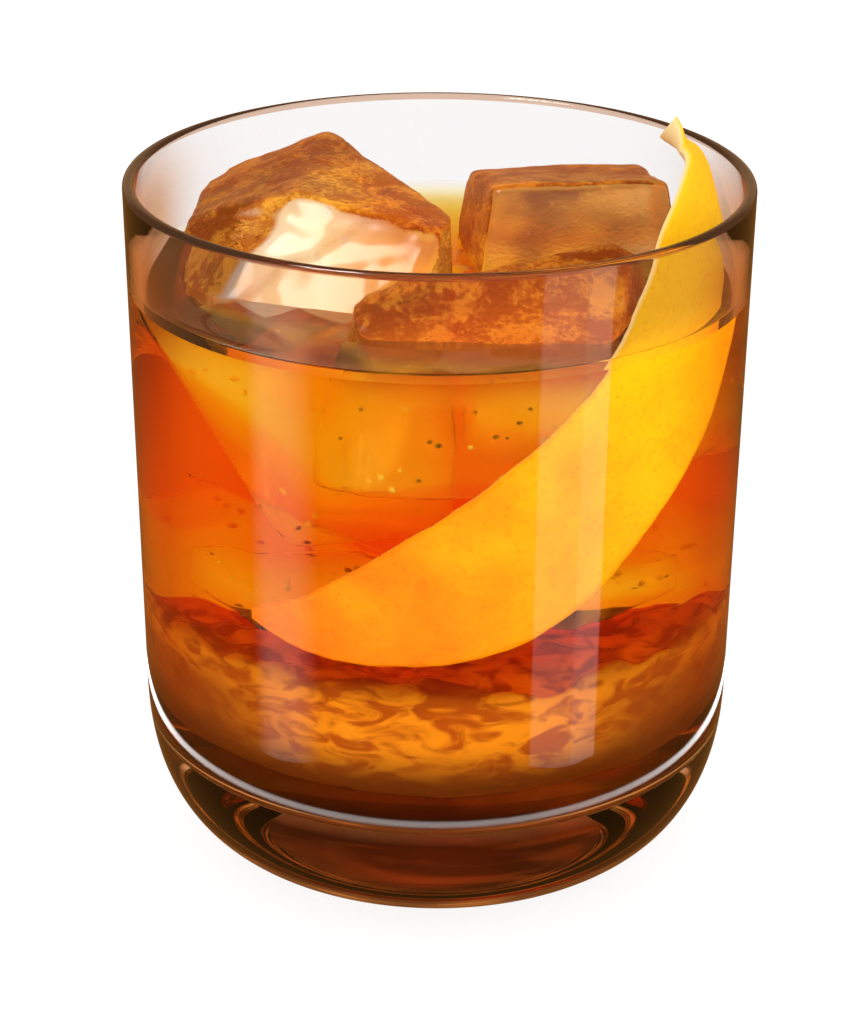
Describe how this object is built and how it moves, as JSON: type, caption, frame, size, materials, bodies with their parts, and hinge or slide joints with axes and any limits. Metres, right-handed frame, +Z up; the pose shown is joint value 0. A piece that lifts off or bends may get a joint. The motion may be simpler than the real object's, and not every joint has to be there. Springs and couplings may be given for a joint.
{
  "type": "negroni",
  "caption": "Negroni over large ice in a heavy-based rocks tumbler, with a long orange peel pressed along the inside of the glass.",
  "frame": {"origin": "centre of the ring that the tumbler stands on", "axes": "+Z up along the glass axis, -Y towards the side where the peel shows"},
  "size_m": [0.088, 0.088, 0.1121],
  "materials": {
    "tumbler": "clear polished soda-lime glass",
    "drink": "clear red-orange liquid",
    "ice": "clear melting ice with bubbles and cracks",
    "orange_peel": "waxy orange zest with fine pores, pale pith behind"
  },
  "bodies": {
    "root": {"tumbler": "tumbler", "drink": "drink", "ice_left": "ice", "ice_right": "ice", "ice_front": "ice", "orange_peel": "orange_peel"}
  },
  "joints": []
}
